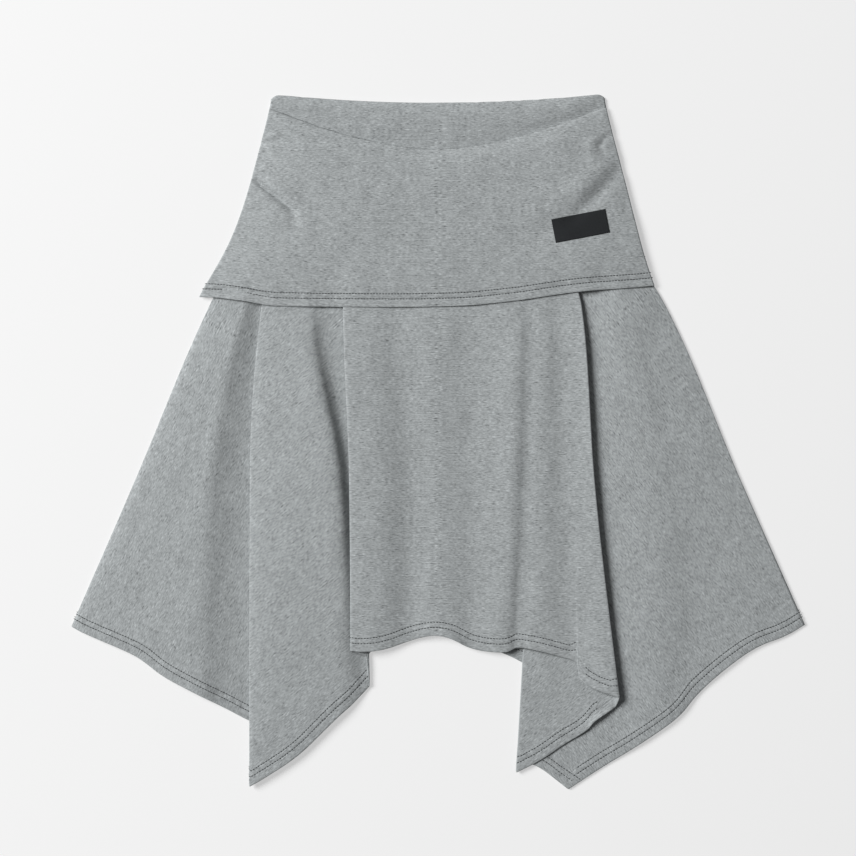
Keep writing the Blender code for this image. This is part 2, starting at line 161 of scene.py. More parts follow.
# The back skirt, under the front: flat on the floor, with one pleat at its middle.
BACK = [
    ("end", 209.5, 135, 71.5, 625, 0.65),
    ("soft", 226, 173, 134, 648, 0.65),
    ("soft", 235, 191, 162, 669, 0.65),
    ("soft", 250, 230, 222, 702, 0.65),
    ("fold", 259, 248, 252, 717, 0.65),
    ("corner", 266, 257, 261, 771, 0.65),
    ("soft", 290, 290, 302, 742, 0.65),
    ("soft", 320, 335, 352, 694, 0.65),
    ("soft", 345, 360, 370, 646, 0.65),
    ("soft", 385, 396, 402, 637, 0.65),
    ("low", 436, 444, 447, 631, 0.65),
    ("high", 436, 444, 447, 631, 2.05),
    ("low", 425, 426, 425, 632, 2.05),
    ("high", 425, 426, 425, 632, 3.45),
    ("fold", 441, 449, 452, 632, 3.45),
    ("fold", 454, 463, 466, 640, 0.65),
    ("soft", 485, 490, 492, 649.5, 0.65),
    ("soft", 520, 517, 513, 657.5, 0.65),
    ("soft", 530, 528, 531, 668, 0.65),
    ("corner", 570, 572, 566.5, 779, 0.65),
    ("soft", 614, 643, 660, 724, 0.65),
    ("soft", 630, 677, 693, 691, 0.65),
    ("soft", 640, 697, 720, 667, 0.65),
    ("soft", 651, 720, 756, 642, 0.65),
    ("end", 665.5, 741, 804.5, 623, 0.65),
]

# Which way the grain of the jersey runs on the front, by line number: line, degrees from +X.
GRAIN = [(0, 62), (9, 62), (10, 40), (20, 40), (21, 0), (42, 0), (43, 38), (49, 38), (50, -55), (61, -55)]

# Sides of the folded waist: y, left x, right x.
WAIST_SIDES = [
    (96, 271.5, 604.5),
    (110, 269, 607),
    (144, 261, 615),
    (168, 254, 622),
    (192, 248, 628),
    (216, 240, 634),
    (240, 231, 640),
    (264, 218, 647),
    (288, 203.5, 655.5),
    (298, 198.5, 659.5),
]

# The flap's hem on the front: x, y.
FLAP_HEM = [
    (198, 297), (213, 297.5), (240, 300.5), (276, 306), (344, 307), (400, 307.3),
    (460, 306), (506, 302), (583, 291.5), (647, 286.5), (659, 285),
]

# Lines that run across the waist pieces, from the flap's hem over the top fold and down inside
# to the waist seam: kind, where the line lies, its y, drop or share of the way, how far its
# ends stay inside the side seams, height at the left seam, in the middle and at the right
# seam, and how wide the slopes at the sides are.
YOKE_FRONT = [
    ("end", "hem", 0, 0, 3.4, 7.3, 4.7, 84),
    ("soft", "hem", -8, 0, 3.6, 7.2, 4.9, 88),
    ("soft", "hem", -14, 0, 3.6, 8.3, 5.4, 88),
    ("soft", "hem", -26, 0, 3.6, 9.2, 5.8, 88),
    ("soft", "y", 245, 0, 3.6, 9.2, 5.6, 84),
    ("soft", "y", 215, 0, 3.6, 9.1, 5.4, 80),
    ("soft", "y", 185, 0, 3.6, 9.1, 5.2, 76),
    ("soft", "rim", 20, 0, 3.6, 8.9, 4.8, 70),
    ("soft", "rim", 7, 0, 3.4, 6.7, 3.8, 60),
    ("high", "rim", 0, 0, 3.2, 4.2, 3.2, 40),
    ("low", "rim", 1, 0.5, 2.9, 3.3, 2.9, 40),
    ("soft", "rim", 24, 9, 3.3, 3.6, 3.3, 20),
    ("soft", "y", 200, 12, 3.3, 3.8, 3.3, 40),
    ("end", "seam", 0, 0, 3.3, 6.2, 3.3, 120),
]
YOKE_BACK = [
    ("end", "hem", -17, 2, 0.65, 0.65, 0.65, 20),
    ("soft", "y", 262, 0, 0.65, 0.65, 0.65, 20),
    ("soft", "y", 238, 0, 0.65, 0.65, 0.65, 20),
    ("soft", "y", 190, 0, 0.65, 0.65, 0.65, 20),
    ("soft", "y", 140, 1, 0.65, 0.65, 0.65, 20),
    ("low", "top", 0, 0, 0.65, 0.65, 0.65, 20),
    ("high", "top", 0, 0, 1.9, 2.6, 1.9, 20),
    ("soft", "between", 0.3, 0, 2.0, 5.2, 2.0, 60),
    ("soft", "between", 0.65, 0.4, 2.0, 4.4, 2.0, 60),
    ("soft", "rim", -2, 0, 2.0, 2.2, 2.0, 60),
    ("soft", "rim", 6, 1.5, 2.0, 2.1, 2.0, 20),
    ("soft", "rim", 25, 10, 2.1, 2.1, 2.1, 20),
    ("soft", "y", 200, 12, 2.1, 2.1, 2.1, 20),
    ("end", "seam", 0, 0, 2.1, 2.1, 2.1, 20),
]
CROWDING = 0.35          # how much nearer the waist's columns stand at the sides: 0 is even
SETTLE = 30              # rounds that bring a waist line's ends onto the side seams
RIM = (436.0, 165.0, 149.0, 41.0, 1.7)   # front rim: middle x, half width, lowest y, rise, bend
TOP = (436.0, 165.0, 102.5, 8.5, 2.0)    # back's top fold, the same
CORNER, CORNER_DROP = 8.0, 4.5           # rounding of the waist's top corners

# Long soft waves that the whole laid cloth follows: length, direction in degrees, height, phase.
WAVES = [
    (94, 12, 0.22, 0.4), (71, 64, 0.20, 2.1), (57, 131, 0.17, 4.0),
    (43, 98, 0.13, 1.2), (35, 21, 0.10, 5.1), (29, 155, 0.08, 3.3),
]

# Creases of the flap: the points of the line, its width and its height, less than 0 for a trough.
FLAP_CREASES = [
    ([(249, 173), (262, 185), (278, 198), (291, 208.5), (298, 214)], 2.9, -4.8),
    ([(255, 168), (272, 182), (290, 196), (304, 206)], 7.0, 1.3),
    ([(286, 204), (294, 216), (296, 234)], 6.0, -1.6),
    ([(260, 170), (310, 186), (370, 214), (430, 240)], 22.0, 1.3),
    ([(630, 158), (612, 179), (596, 196), (580, 212), (562, 225)], 7.0, -1.9),
    ([(616, 150), (598, 170), (578, 189), (548, 206)], 10.0, 1.8),
    ([(580, 214), (545, 231), (505, 243)], 14.0, -1.2),
    ([(618, 133), (606, 137), (599, 146), (604, 156)], 3.0, -1.2),
    ([(596, 134), (590, 148), (596, 162)], 6.0, 1.0),
    ([(256, 140), (261, 143.5), (266, 145)], 1.8, -2.8),
    ([(262, 139), (271, 136), (282, 134)], 2.2, 1.2),
    ([(577, 240), (581, 270), (583, 292), (585, 330)], 16.0, 1.0),
    ([(214, 288), (232, 289.7), (257, 291.7), (272, 297.5)], 2.0, -2.4),
    ([(331, 258), (332, 290), (333, 330)], 16.0, -1.6),
]

# Curls of a hem's edge: first and last line, hem x and y at its middle, half width along the
# hem, how far in from the edge it reaches, and its lift.
CURLS = [
    (28, 31, 455, 640, 13, 8.0, 2.4),
    (39, 43, 600, 691, 24, 42.0, 2.2),
    (44, 46, 601, 719, 13, 6.0, 2.6),
    (22, 23, 359, 653, 6, 4.0, 1.2),
]
FLAP_CURLS = [(0, 0, 238, 300, 26, 9.0, 2.6)]

KEY_FROM = 156.0         # degrees from +X that the key light stands at: left, a little above
KEY_AWAY, KEY_SIZE = 7.0, 4.0
PAPER = 0.42             # how light the floor's paper is without its glow
FLOOR_HALF = 6.0         # half the floor's width, in metres
VIEW_MIDDLE = (428.0, 428.0, 7.0)  # table position at the middle of the view
VIEW_WIDE = 0.856        # metres across the view
SENSOR = 36.0            # width of the camera's sensor

HIDDEN_ROWS = (37.9, 39.5)  # between these lines the front's hem rows run out of sight, in a fold
WRONG_SIDE = (44.6, 48.95)  # between these lines the front's hem lies wrong side up
# One hem's rows run between the first two lines at the point, and the next hem's on from the third.
CORNER_ROWS = (50.1, 51.75, 52.25)
RUN_ON = 1.75            # how far the first rows run on over the next hem, for each mm from the edge
RUN_COLUMNS = 8          # how many columns back their direction is taken from

LABEL_AT = (580.4, 226.0)
LABEL_TURN = 11.0        # degrees
LABEL_EDGE = 0.0006      # how far in the rounding of the patch's edge reaches, in metres
LABEL_CLEAR = 0.00005    # left under the patch, in metres
OVERHEAD = 0.06          # over everything, in metres

# The four pieces of jersey: piece, the solid it replaces, what it rests on.
PIECES = {
    "front": ("front_panel", "skirt_front", ["back_panel"]),
    "back": ("back_panel", "skirt_back", ["floor"]),
    "flap": ("waist_front", "yoke_front", ["waist_back", "front_panel"]),
    "under": ("waist_back", "yoke_back", ["floor"]),
}
TABLES = {"front": FRONT, "back": BACK, "flap": YOKE_FRONT, "under": YOKE_BACK}
HEM_CURLS = {"front": CURLS, "flap": FLAP_CURLS}
# Widest cell across each piece and from row to row, as shares of the cloth's own cell.
CELLS = {"front": (1.0, 1.95), "back": (2.0, 2.5), "flap": (0.66, 0.52), "under": (1.0, 0.52)}
WAIST_WIDE, WAIST_CELL = 430, 0.3  # the waist's width, and its cell over the top folds


class SkirtCloth(bpy.types.PropertyGroup):
    """Sizes and colour of the jersey."""

    wall: FloatProperty(
        name="Thickness", description="Thickness of one layer of jersey",
        default=0.0010, unit="LENGTH",
    )
    step: FloatProperty(
        name="Cell", description="Widest cell across the cloth",
        default=0.0034, unit="LENGTH",
    )
    colour: FloatVectorProperty(
        name="Colour", description="Mean colour of the heather grey",
        subtype="COLOR", size=3, default=(0.345, 0.365, 0.370),
    )
    fleck: FloatProperty(
        name="Heather", description="How strongly light and dark fibres show",
        subtype="FACTOR", default=0.64,
    )


class SkirtSewing(bpy.types.PropertyGroup):
    """Sizes and colour of the stitching."""

    pitch: FloatProperty(
        name="Pitch", description="From one stitch to the next", default=0.0030, unit="LENGTH",
    )
    length: FloatProperty(
        name="Length", description="Length of a stitch that shows", default=0.0029, unit="LENGTH",
    )
    thread: FloatProperty(
        name="Thread", description="Thickness of the thread", default=0.0010, unit="LENGTH",
    )
    # The thread's dark colour is painted shade: the real thread is the jersey's grey, and this darkness
    # stands for the shade in the grooves where the stitching sinks in.
    colour: FloatVectorProperty(
        name="Colour", description="Colour of the thread",
        subtype="COLOR", size=3, default=(0.030, 0.033, 0.035),
    )


class SkirtPatch(bpy.types.PropertyGroup):
    """Sizes and colour of the woven patch."""

    width: FloatProperty(
        name="Width", description="Width of the patch", default=0.055, unit="LENGTH",
    )
    height: FloatProperty(
        name="Height", description="Height of the patch", default=0.024, unit="LENGTH",
    )
    thick: FloatProperty(
        name="Thickness", description="Thickness of the patch", default=0.0007, unit="LENGTH",
    )
    colour: FloatVectorProperty(
        name="Colour", description="Colour of the woven ribbon",
        subtype="COLOR", size=3, default=(0.017, 0.019, 0.021),
    )


class SkirtStage(bpy.types.PropertyGroup):
    """The floor, the light and the camera."""

    floor: FloatProperty(
        name="Floor", description="How light the floor is", subtype="FACTOR", default=0.895,
    )
    key: FloatProperty(
        name="Key", description="Share of the light that comes from the left",
        subtype="FACTOR", default=0.86,
    )
    elevation: FloatProperty(
        name="Elevation", description="Height of the key light in degrees", default=39.0,
    )
    height: FloatProperty(
        name="Camera", description="Height of the camera", default=3.0, unit="LENGTH",
    )


def through(knots, values, at):
    """A smooth curve through the values that never swings past them."""
    knots = np.asarray(knots, float)
    values = np.asarray(values, float)
    width = np.diff(knots)
    rise = np.diff(values) / width
    slope = np.zeros(len(values))
    for i in range(1, len(values) - 1):
        if rise[i - 1] * rise[i] > 0:
            before = 2 * width[i] + width[i - 1]
            after = width[i] + 2 * width[i - 1]
            slope[i] = (before + after) / (before / rise[i - 1] + after / rise[i])
    slope[0] = rise[0]
    slope[-1] = rise[-1]
    i = np.clip(np.searchsorted(knots, at, side="right") - 1, 0, len(width) - 1)
    s = (at - knots[i]) / width[i]
    start = (1 + 2 * s) * (1 - s) ** 2 * values[i] + s * (1 - s) ** 2 * width[i] * slope[i]
    finish = s * s * (3 - 2 * s) * values[i + 1] - s * s * (1 - s) * width[i] * slope[i + 1]
    return start + finish


def smooth_step(low, high, value):
    s = np.clip((value - low) / (high - low), 0, 1)
    return s * s * (3 - 2 * s)


def seam_x(x_at_flap):
    """Where a fold line starts at the waist seam, from where it leaves the flap."""
    left, right = FRONT[0][1], FRONT[-1][1]
    share = (x_at_flap - left) / (right - left)
    return SEAM_ENDS[0] + (SEAM_ENDS[1] - SEAM_ENDS[0]) * share


def skirt_lines(table):
    """The fold lines as points: one array (row, line, xyz) and the kinds."""
    kinds = [row[0] for row in table]
    lines = []
    for _, x_flap, x_knee, x_hem, y_hem, *heights in table:
        z_seam, z_flap, z_knee, z_hem = heights if len(heights) == 4 else heights * 4
        flat = np.interp(x_flap, [x for x, _ in FLAP_HEM], [y for _, y in FLAP_HEM]) - 1
        upper = np.linspace(SEAM_Y, flat - CLIMB, 6, endpoint=False)
        climb = np.linspace(flat - CLIMB, flat, 7)
        lower = flat + (y_hem - flat) * np.arange(1, ROWS + 1) / ROWS
        y = np.concatenate([upper, climb, lower])
        knots = [SEAM_Y, FLAP_Y, KNEE_Y, y_hem]
        x = through(knots, [seam_x(x_flap), x_flap, x_knee, x_hem], y)
        z_free = z_flap + FREED * (z_knee - z_flap)
        z = through([SEAM_Y, FLAP_Y, FREE_Y, KNEE_Y, y_hem], [z_seam, z_flap, z_free, z_knee, z_hem], y)
        lift = 1 - smooth_step(flat - CLIMB, flat, y)
        lines.append(np.stack([x, y, z + lift * LAYER], axis=1))
    return kinds, np.stack(lines, axis=1)


def fold_pairs(kinds):
    """The first line of each round turn: a low and a high line side by side."""
    pairs = set()
    i = 0
    while i < len(kinds) - 1:
        if {kinds[i], kinds[i + 1]} == {"low", "high"}:
            pairs.add(i)
            i += 2
        else:
            i += 1
    return pairs


def roundings(kinds, pairs, length):
    """How far each bend's rounding reaches along the cloth, before and after its line."""
    rows, spans = length.shape
    before = np.zeros((rows, spans + 1))
    after = np.zeros((rows, spans + 1))
    for i in range(1, spans):
        left, right = length[:, i - 1], length[:, i]
        if kinds[i] == "soft":
            before[:, i], after[:, i] = left / 2, right / 2
        elif i in pairs:
            before[:, i] = np.minimum(np.minimum(right / 2, left * NEAR), TURN)
            after[:, i] = right / 2
        elif i - 1 in pairs:
            before[:, i] = left / 2
            after[:, i] = np.minimum(np.minimum(left / 2, right * NEAR), TURN)
        else:
            before[:, i] = np.minimum(BEND[kinds[i]], left * NEAR)
            after[:, i] = np.minimum(BEND[kinds[i]], right * NEAR)
    return before, after


def loft_points(kinds, points, step):
    """A grid (row, column, xyz) across the lines, its bends rounded, and each column's place
    among the lines: 3.5 is half way from line 3 to line 4."""
    pairs = fold_pairs(kinds)
    count = points.shape[1]
    length = norm(np.diff(points, axis=1), axis=2)
    before, after = roundings(kinds, pairs, length)
    columns = [points[:, 0]]
    places = [0.0]
    for i in range(1, count):
        start = points[:, i - 1]
        finish = points[:, i]
        reach = length[:, i - 1]
        free = reach - after[:, i - 1] - before[:, i]
        way = (finish - start) / reach[:, None]
        if i == count - 1 or free.max() > 1e-6:
            cells = max(1, math.ceil(free.max() / step))
            for k in range(1, cells + 1):
                along = after[:, i - 1] + free * k / cells
                columns.append(start + way * along[:, None])
                places.append(i - 1 + float(np.mean(along / reach)))
        if i == count - 1:
            break
        nearer = finish - way * before[:, i][:, None]
        onward = (points[:, i + 1] - finish) / length[:, i][:, None]
        farther = finish + onward * after[:, i][:, None]
        widest = float((before[:, i] + after[:, i]).max())
        turns = int(np.clip(math.ceil(widest / step), 3 if kinds[i] == "soft" else 4, 14))
        for k in range(1, turns + 1):
            s = k / turns
            bend = (1 - s) ** 2 * nearer + 2 * s * (1 - s) * finish + s * s * farther
            columns.append(bend)
            back = float(np.mean(before[:, i] / reach))
            forth = float(np.mean(after[:, i] / length[:, i]))
            places.append(i - back + (back + forth) * s)
    return np.stack(columns, axis=1), np.array(places)


def waist_side(y, column):
    """The side seam's x at a height of the waist: column 1 is left, 2 is right."""
    table = np.array(WAIST_SIDES)
    return np.interp(y, table[:, 0], table[:, column])


def arch(shape, x):
    """The y of a dipping fold at x."""
    middle, half, low, rise, bend = shape
    return low - rise * np.minimum(np.abs(x - middle) / half, 1.02) ** bend


def top_fold(x):
    """The y of the back's top fold at x, its ends rounded."""
    edge = np.clip(1 - np.minimum(x - x[0], x[-1] - x) / CORNER, 0, 1)
    return arch(TOP, x) + CORNER_DROP * edge ** 2


def yoke_lines(table, cells):
    """The waist piece's lines as points (row across, line, xyz)."""
    kinds = [row[0] for row in table]
    even = np.linspace(0, 1, cells + 1)
    share = CROWDING * (0.5 - 0.5 * np.cos(np.pi * even)) + (1 - CROWDING) * even
    hem = np.array(FLAP_HEM, float)
    hem_left, hem_right = hem[0, 0], hem[-1, 0]
    lines = []
    for _, place, drop, inset, z_left, z_mid, z_right, slope in table:
        x = hem_left + (hem_right - hem_left) * share
        y = np.zeros(len(x))
        for _ in range(SETTLE):
            if place == "hem":
                y = through(hem[:, 0], hem[:, 1], np.clip(x, hem_left, hem_right)) + drop
            elif place == "y":
                y = np.full(len(x), float(drop))
            elif place == "rim":
                y = arch(RIM, x) + drop
            elif place == "top":
                y = top_fold(x)
            elif place == "between":
                y = top_fold(x) * (1 - drop) + arch(RIM, x) * drop
            else:
                y = np.full(len(x), SEAM_Y - WAIST_GAP)
            left = waist_side(y[0], 1) + inset
            right = waist_side(y[-1], 2) - inset
            if place == "seam":
                left, right = SEAM_ENDS
            x = left + (right - left) * share
        edge = np.minimum(x - x[0], x[-1] - x)
        side = np.where(x - x[0] < x[-1] - x, z_left, z_right)
        z = z_mid + (side - z_mid) * np.clip(1 - edge / slope, 0, 1) ** 2
        lines.append(np.stack([x, y, z], axis=1))
    return kinds, np.stack(lines, axis=1)


def lay_rows(grid, step):
    """The cloth's rows laid again from its hem up, close together along the stitching. The
    grid's row 0 is its hem. Returns it with each point's distance from the hem's edge."""
    rows, columns = grid.shape[:2]
    way = np.zeros((rows, columns))
    way[1:] = np.cumsum(norm(np.diff(grid, axis=0), axis=2), axis=0)
    edge = np.gradient(grid[0], axis=0)
    inward = np.array([[np.interp(NEAR_ROWS[-1], way[:, c], grid[:, c, k]) for k in range(3)]
                       for c in range(columns)]) - grid[0]
    across = norm(np.cross(edge, inward), axis=1)
    across = across / norm(edge, axis=1) / norm(inward, axis=1)
    slant = np.clip(1 / np.maximum(across, 0.3), 1, 1.9)
    slant = np.convolve(np.pad(slant, 3, mode="edge"), np.ones(7) / 7, mode="valid")
    near = np.array(NEAR_ROWS, float)
    longest = float(np.max(way[-1] - near[-1] * slant))
    far = np.arange(1, math.ceil(longest / step) + 1) / math.ceil(longest / step)
    laid = np.zeros((len(near) + len(far), columns, 3))
    depth = np.zeros((len(near) + len(far), columns))
    for c in range(columns):
        close = near * slant[c]
        at = np.concatenate([close, close[-1] + (way[-1, c] - close[-1]) * far])
        depth[:, c] = at / slant[c]
        for k in range(3):
            laid[:, c, k] = np.interp(at, way[:, c], grid[:, c, k])
    return laid, depth


def normals(grid):
    """The grid's unit normals, up on a layer that lies face up."""
    along = np.gradient(grid, axis=0)
    across = np.gradient(grid, axis=1)
    up = np.cross(along, across)
    return up / np.maximum(norm(up, axis=2, keepdims=True), 1e-9)


def ripple(grid):
    """Lifts every layer alike by the long soft waves."""
    lift = np.zeros(grid.shape[:2])
    for length, direction, height, phase in WAVES:
        angle = math.radians(direction)
        along = grid[..., 0] * math.cos(angle) + grid[..., 1] * math.sin(angle)
        lift += height * np.sin(2 * np.pi * along / length + phase)
    return lift


def crease(grid, points, width, height):
    """The lift of one soft crease along a line, faded out at its ends."""
    line = np.array(points, float)
    flat = grid[..., :2]
    best = np.full(flat.shape[:2], 1e9)
    at = np.zeros(flat.shape[:2])
    lengths = norm(np.diff(line, axis=0), axis=1)
    passed = 0.0
    for start, finish, length in zip(line[:-1], line[1:], lengths):
        s = np.clip(((flat - start) @ (finish - start)) / length ** 2, 0, 1)
        gap = norm(flat - (start + s[..., None] * (finish - start)), axis=2)
        nearer = gap < best
        best = np.where(nearer, gap, best)
        at = np.where(nearer, passed + s * length, at)
        passed += length
    ends = np.sin(np.pi * np.clip(at / passed, 0, 1)) ** 0.7
    return height * ends * np.exp(-(best / width) ** 2)


def curl(grid, depth, places, row):
    """The lift of one stretch of hem whose edge curls up."""
    first, last, x, y, reach, deep, lift = row
    gap = np.hypot(grid[0, :, 0] - x, grid[0, :, 1] - y)
    window = np.exp(-(gap / reach) ** 2)
    if last:
        window = window * ((places >= first - 0.5) & (places <= last + 0.5))
    return lift * window[None, :] * np.clip(1 - depth / deep, 0, 1) ** 1.5


def pucker(grid, depth):
    """The small unevenness that sewing gives a hem."""
    way = np.concatenate([[0], np.cumsum(norm(np.diff(grid[0], axis=0), axis=1))])
    wave = np.sin(way / 1.35 + 1.7 * np.sin(way / 11)) + 0.6 * np.sin(way / 2.7 + 0.8)
    band = np.exp(-((depth - PUCKER_AT) / PUCKER_WIDE) ** 2)
    return PUCKER * wave[None, :] * band


def hem_weight(depth):
    """The wall's share of its full thickness: a rounded edge, a doubled hem with two sunk rows."""
    double = 1.0 - (1 - SINGLE) * smooth_step(HEM_TURN - 0.6, HEM_TURN + 0.9, depth)
    edge = np.sqrt(np.clip(1 - (1 - np.clip(depth / EDGE_ROUND, 0, 1)) ** 2, 0.12, 1))
    sunk = sum(np.exp(-((depth - row) / SUNK_WIDE) ** 2) for row in STITCH_ROWS)
    return double * edge * (1 - SUNK * np.minimum(sunk, 1))


@functools.cache
def cloth(name):
    """One piece of cloth: its middle surface, distance from the hem and place among the lines."""
    step = bpy.context.scene.skirt_cloth.step * 1000
    across, down = CELLS[name]
    if name in ("front", "back"):
        grid, places = loft_points(*skirt_lines(TABLES[name]), step * across)
        grid = grid[::-1]
    else:
        kinds, lines = yoke_lines(TABLES[name], round(WAIST_WIDE / (step * across)))
        grid = loft_points(kinds, lines, step * WAIST_CELL)[0].transpose(1, 0, 2)
        places = np.zeros(grid.shape[1])
    grid, depth = lay_rows(grid, step * down)
    lift = pucker(grid, depth)
    if name != "back":
        lift = lift + ripple(grid) * smooth_step(0.8, 4.0, grid[..., 2])
    if name == "flap":
        outer = normals(grid)[..., 2] > 0
        for points, width, height in FLAP_CREASES:
            lift = lift + crease(grid, points, width, height) * outer
    for row in HEM_CURLS.get(name, []):
        lift = lift + curl(grid, depth, places, row)
    grid[..., 2] += lift
    return grid, depth, places


def to_metres(points):
    """Table positions to the object's own, in metres."""
    out = np.empty_like(points)
    out[..., 0] = (points[..., 0] - CENTRE[0]) / 1000
    out[..., 1] = (CENTRE[1] - points[..., 1]) / 1000
    out[..., 2] = points[..., 2] / 1000
    return out


def faces_of(rows, columns):
    """The four-sided faces of a grid, which look up where row 0 is the hem."""
    corner = (np.arange(rows - 1)[:, None] * columns + np.arange(columns - 1)).reshape(-1)
    return np.stack([corner, corner + 1, corner + columns + 1, corner + columns], axis=1)


def add_object(name, data):
    made = bpy.data.objects.new(name, data)
    bpy.context.scene.collection.objects.link(made)
    return made


def add_mesh(name, points, faces, material):
    mesh = bpy.data.meshes.new(name)
    mesh.from_pydata(points.reshape(-1, 3).tolist(), [], faces.tolist())
    mesh.materials.append(material)
    mesh.shade_smooth()
    return add_object(name, mesh)


def add_sheet(name, place, weight, wall, angle, material):
    """A piece of cloth: a grid of points in metres, with its wall on both sides and its grain as
    UVs, turned by the angle."""
    rows, columns = place.shape[:2]
    piece = add_mesh(name, place, faces_of(rows, columns), material)
    turned = np.radians(angle)
    x, y = place[..., 0], place[..., 1]
    grain = np.stack([x * np.cos(turned) + y * np.sin(turned),
                      y * np.cos(turned) - x * np.sin(turned)], axis=2).reshape(-1, 2)
    layer = piece.data.uv_layers.new(name="grain")
    corners = np.empty(len(piece.data.loops), np.int32)
    piece.data.loops.foreach_get("vertex_index", corners)
    layer.data.foreach_set("uv", grain[corners].astype(np.float32).reshape(-1))
    group = piece.vertex_groups.new(name="wall")
    shares = weight.reshape(-1)
    levels = np.round(shares * 50) / 50
    for level in np.unique(levels):
        group.add(np.flatnonzero(levels == level).tolist(), float(level), "REPLACE")
    walls = piece.modifiers.new("wall", "SOLIDIFY")
    walls.thickness = wall
    walls.offset = 0.0
    walls.use_even_offset = False
    walls.use_rim = True
    walls.vertex_group = "wall"
    return piece


def socket(group, name, kind, value=None, out=False):
    made = group.interface.new_socket(name, in_out="OUTPUT" if out else "INPUT", socket_type=kind)
    if value is not None:
        made.default_value = value
    return made


def tree_node(tree, kind, inputs=(), **values):
    """A node with its values set, its inputs linked to a socket or set."""
    node = tree.nodes.new(kind)
    for name, value in values.items():
        setattr(node, name, value)
    for name, value in inputs:
        if isinstance(value, bpy.types.NodeSocket):
            tree.links.new(value, node.inputs[name])
        else:
            node.inputs[name].default_value = value
    return node


def noise(tree, vector, scale, detail, rough):
    return tree_node(tree, "ShaderNodeTexNoise", [
        ("Scale", scale), ("Detail", detail), ("Roughness", rough), ("Vector", vector),
    ]).outputs["Fac"]


def stretched(tree, vector, along, across):
    """The vector scaled so that one unit is so many metres along the grain and across it."""
    return tree_node(tree, "ShaderNodeMapping", [
        ("Scale", (1 / along, 1 / across, 1)), ("Vector", vector),
    ]).outputs["Vector"]


def span(tree, value, low, high, to_low, to_high):
    return tree_node(tree, "ShaderNodeMapRange", [
        ("From Min", low), ("From Max", high), ("To Min", to_low), ("To Max", to_high), ("Value", value),
    ]).outputs["Result"]


def ribs(tree, vector, direction, distortion):
    return tree_node(tree, "ShaderNodeTexWave", [
        ("Scale", 0.5), ("Distortion", distortion), ("Vector", vector),
    ], bands_direction=direction).outputs["Fac"]


def arithmetic(tree, operation, first, second):
    return tree_node(tree, "ShaderNodeMath", [(0, first), (1, second)], operation=operation).outputs["Value"]


@functools.cache
def heather_group():
    """Light and dark fibres of a heather yarn, drawn out along the grain."""
    group = bpy.data.node_groups.new("heather_yarn", "ShaderNodeTree")
    socket(group, "Colour", "NodeSocketColor", (0.3, 0.3, 0.3, 1))
    socket(group, "Strength", "NodeSocketFloat", 0.5)
    socket(group, "Colour", "NodeSocketColor", out=True)
    socket(group, "Height", "NodeSocketFloat", out=True)
    given = group.nodes.new("NodeGroupInput")
    put = group.nodes.new("NodeGroupOutput")
    grain = tree_node(group, "ShaderNodeUVMap", uv_map="grain").outputs["UV"]
    streak = noise(group, stretched(group, grain, 0.0036, 0.0012), 1, 2, 0.6)
    fleck = noise(group, stretched(group, grain, 0.0048, 0.0012), 1.0, 1, 0.5)
    mottle = noise(group, stretched(group, grain, 0.011, 0.007), 1, 2, 0.55)
    total = arithmetic(group, "MULTIPLY", span(group, streak, 0.3, 0.7, -1, 1), 0.42)
    light = span(group, fleck, 0.60, 0.74, 0, 0.55)
    dark = span(group, fleck, 0.26, 0.40, -0.60, 0)
    soft = span(group, mottle, 0.3, 0.7, -0.16, 0.16)
    for part in (light, dark, soft):
        total = arithmetic(group, "ADD", total, part)
    total = arithmetic(group, "MULTIPLY", total, given.outputs["Strength"])
    bright = arithmetic(group, "ADD", total, 1.0)
    scaled = tree_node(group, "ShaderNodeVectorMath", operation="SCALE", inputs=[
        ("Vector", given.outputs["Colour"]), ("Scale", bright),
    ])
    group.links.new(scaled.outputs["Vector"], put.inputs["Colour"])
    wale = ribs(group, stretched(group, grain, 0.0005, 0.0012), "X", 1.2)
    height = arithmetic(group, "MULTIPLY", wale, 0.25)
    height = arithmetic(group, "ADD", height, streak)
    group.links.new(height, put.inputs["Height"])
    return group


def shader_of(name, colour, roughness, sheen):
    """A material, its tree and its shader."""
    material = bpy.data.materials.new(name)
    material.use_nodes = True
    shader = material.node_tree.nodes["Principled BSDF"]
    for socket_name, value in (("Base Color", (*colour, 1)), ("Roughness", roughness),
                               ("Specular IOR Level", 0.25), ("Sheen Weight", sheen),
                               ("Sheen Roughness", 0.6)):
        shader.inputs[socket_name].default_value = value
    return material, material.node_tree, shader


def add_tint(tree, shader, factor, colour):
    """Varies the colour from dark to light by the factor."""
    tint = tree_node(tree, "ShaderNodeMix", [
        ("A", (*[c * 0.6 for c in colour], 1)), ("B", (*[c * 1.5 for c in colour], 1)), ("Factor", factor),
    ], data_type="RGBA")
    tree.links.new(tint.outputs["Result"], shader.inputs["Base Color"])


def add_bump(tree, shader, height, strength, distance):
    bump = tree_node(tree, "ShaderNodeBump", [
        ("Strength", strength), ("Distance", distance), ("Height", height),
    ])
    tree.links.new(bump.outputs["Normal"], shader.inputs["Normal"])


@functools.cache
def jersey_material():
    """Heather grey single jersey, matt, with a short soft nap."""
    settings = bpy.context.scene.skirt_cloth
    material, tree, shader = shader_of("heather_jersey", settings.colour, 0.95, 0.03)
    yarn = tree_node(tree, "ShaderNodeGroup", node_tree=heather_group(), inputs=[
        ("Colour", (*settings.colour, 1)), ("Strength", settings.fleck),
    ])
    tree.links.new(yarn.outputs["Colour"], shader.inputs["Base Color"])
    add_bump(tree, shader, yarn.outputs["Height"], 0.35, 0.0004)
    return material


